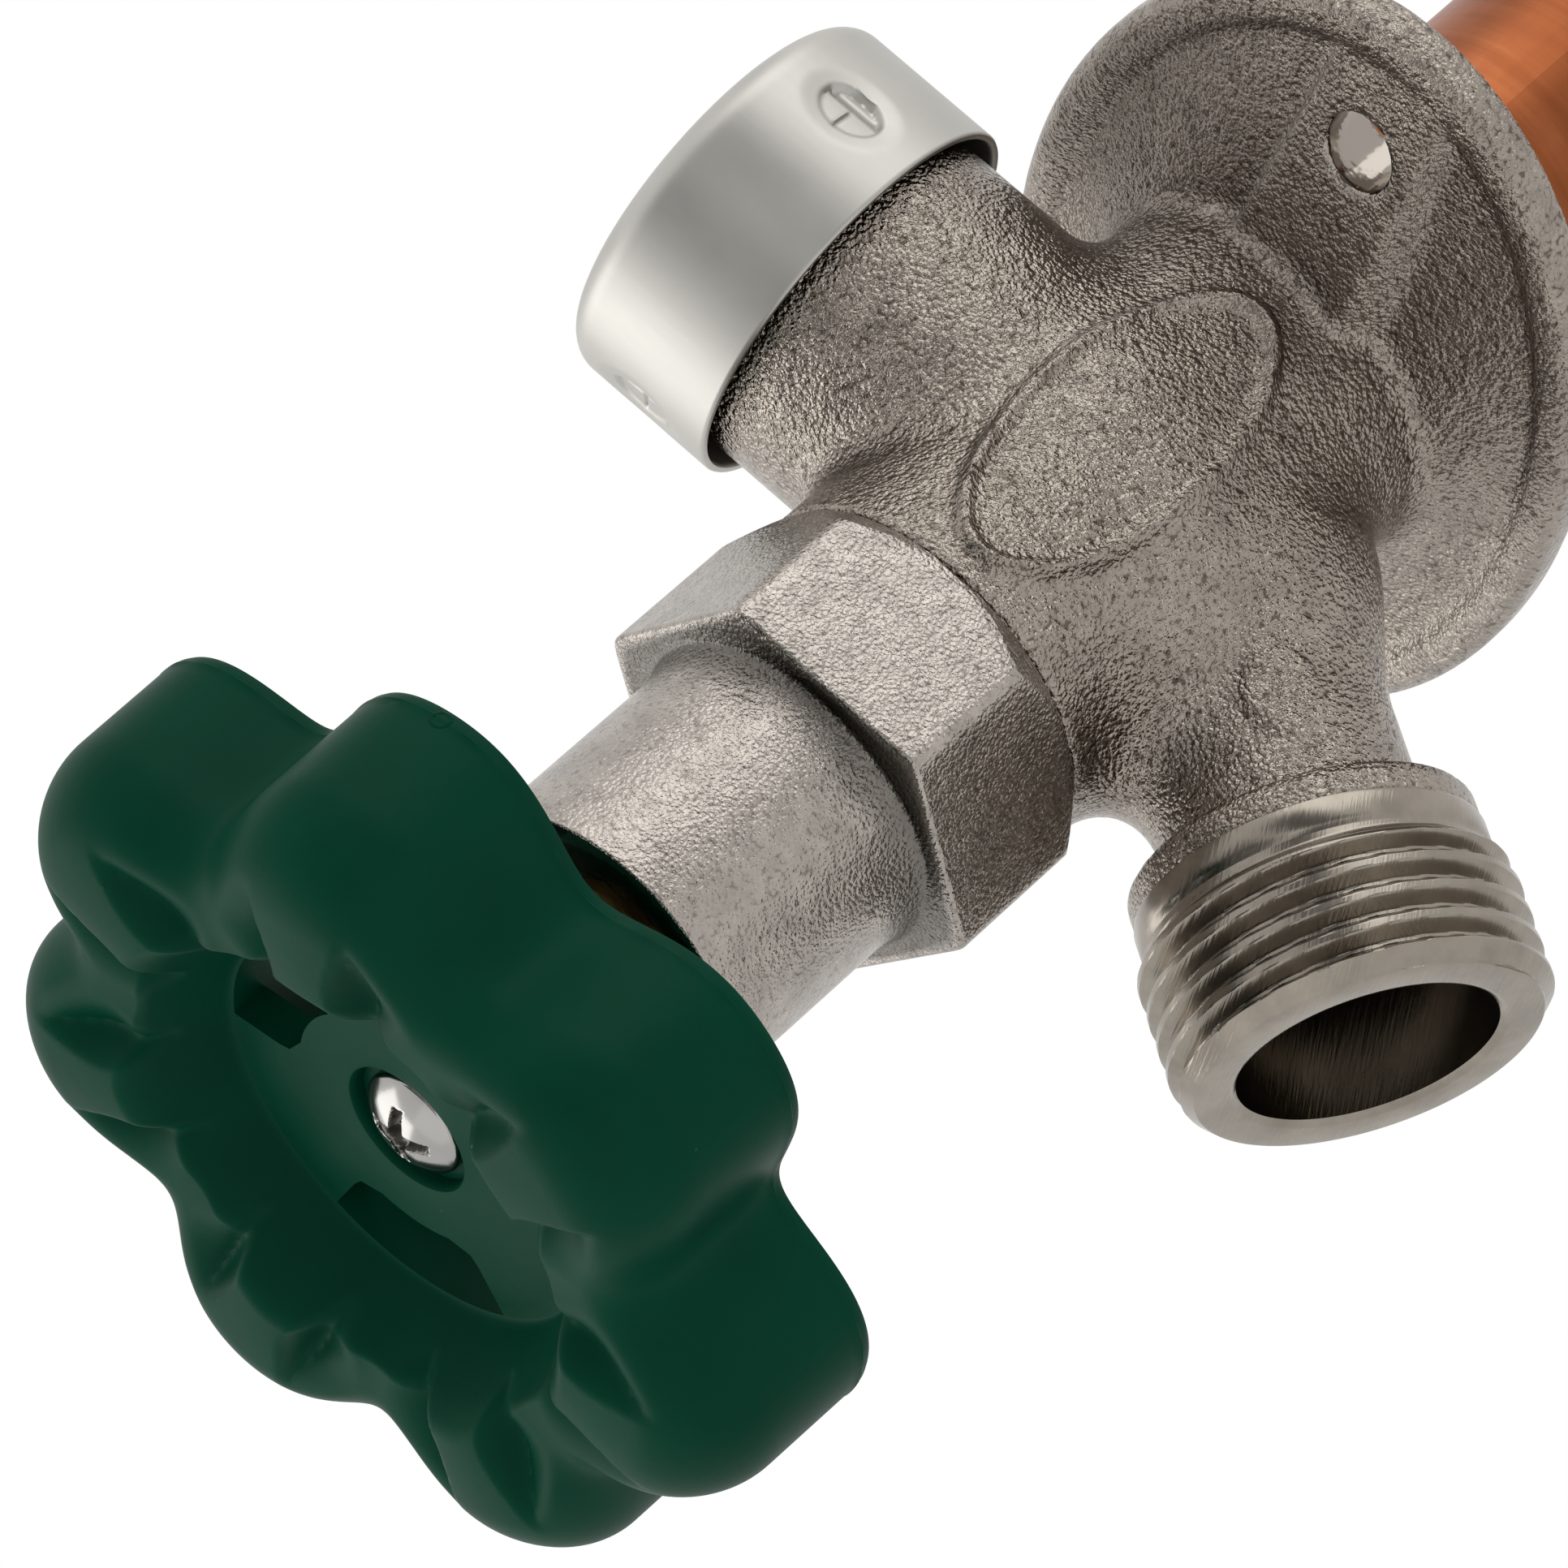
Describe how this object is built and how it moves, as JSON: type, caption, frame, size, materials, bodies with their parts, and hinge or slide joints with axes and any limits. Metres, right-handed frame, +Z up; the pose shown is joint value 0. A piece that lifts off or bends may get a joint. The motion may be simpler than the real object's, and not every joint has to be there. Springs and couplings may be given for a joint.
{
  "type": "frost free sillcock",
  "caption": "Frost free outdoor wall tap: lobed hand wheel, hexagonal bonnet nut, capped air vent, angled hose outlet, oval wall flange and a copper inlet tube with the valve seat at its end.",
  "frame": {"origin": "on the main axis, at the flange's back face, which lies on the wall", "axes": "+Y along the main axis into the wall, -Y towards the handle, +Z up towards the vent, +X to the right of someone facing the wall"},
  "size_m": [0.074, 0.2533, 0.0837],
  "materials": {
    "cast_nickel": "sand cast brass with a dull nickel plate",
    "green_moulding": "satin dark green moulding",
    "bright_screw": "bright plated steel",
    "satin_cap": "satin nickel plated pressing",
    "copper": "drawn copper, lightly tarnished",
    "bare_brass": "turned brass",
    "solder": "dull solder",
    "spring_steel": "bright steel",
    "black_rubber": "moulded black rubber",
    "fibre": "pressed fibre",
    "white_plastic": "moulded plastic"
  },
  "bodies": {
    "casing": {"valve_body": "cast_nickel", "bonnet_nut": "cast_nickel", "bonnet_gasket": "fibre", "thrust_washer": "white_plastic", "stem_seals": "black_rubber", "inlet_tube": "copper", "inlet_fitting": "bare_brass", "front_solder": "solder", "rear_solder": "solder", "vent_cap": "satin_cap", "vent_bonnet": "bare_brass", "vent_seal": "black_rubber"},
    "washer_carrier": {"plunger": "bare_brass", "seat_washer": "black_rubber", "washer_screw": "bare_brass"},
    "spindle": {"stem": "bare_brass", "rod_pin": "spring_steel", "operating_rod": "bare_brass", "snap_ring": "spring_steel", "handle": "green_moulding", "handle_screw": "bright_screw"},
    "float": {"vent_float": "white_plastic", "float_seal": "black_rubber"}
  },
  "joints": [
    {"name": "plunger_slide", "type": "slide", "parent": "casing", "child": "washer_carrier", "axis": [0, -1, 0], "range_m": [0, 0.006]},
    {"name": "handle_turn", "type": "hinge", "parent": "washer_carrier", "child": "spindle", "pos_m": [0, 0, 0], "axis": [0, -1, 0], "range_deg": [0, 720]},
    {"name": "float_lift", "type": "slide", "parent": "casing", "child": "float", "axis": [0, 0, 1], "range_m": [0, 0.0022]}
  ],
  "couplings": [
    {"joint": "plunger_slide", "follows": "handle_turn", "m_per_rad": 0.00047746}
  ]
}
